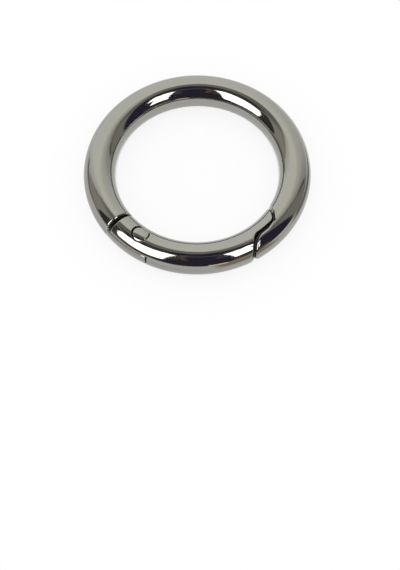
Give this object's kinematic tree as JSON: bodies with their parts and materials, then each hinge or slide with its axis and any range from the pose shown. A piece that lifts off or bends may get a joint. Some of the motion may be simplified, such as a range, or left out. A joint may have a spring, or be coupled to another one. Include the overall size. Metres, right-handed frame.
{
  "type": "spring gate ring",
  "caption": "Round metal snap ring whose sprung front gate swings inwards on a riveted hinge and laps inside a hooked nose.",
  "frame": {"origin": "centre of the ring, at mid height of its round section", "axes": "+Z along the ring's axis, +X to the right, -Y towards the gate, whose hinge lies left of the front and whose nose lies right of it"},
  "size_m": [0.0352, 0.0352, 0.005],
  "materials": {
    "plated_metal": "polished nickel-grey plating",
    "rivet_metal": "polished nickel-grey plating, dressed flush",
    "spring_steel": "drawn spring wire"
  },
  "bodies": {
    "ring": {"ring_body": "plated_metal", "torsion_spring": "spring_steel"},
    "swing_gate": {"gate": "plated_metal", "hinge_rivet": "rivet_metal"}
  },
  "joints": [
    {"name": "gate_hinge", "type": "hinge", "parent": "ring", "child": "swing_gate", "pos_m": [-0.0087, -0.01197, 0], "axis": [0, 0, 1], "range_deg": [0, 30], "stiffness_Nm_per_rad": 0.03, "springref_deg": -34.38, "deforming": ["torsion_spring"]}
  ]
}
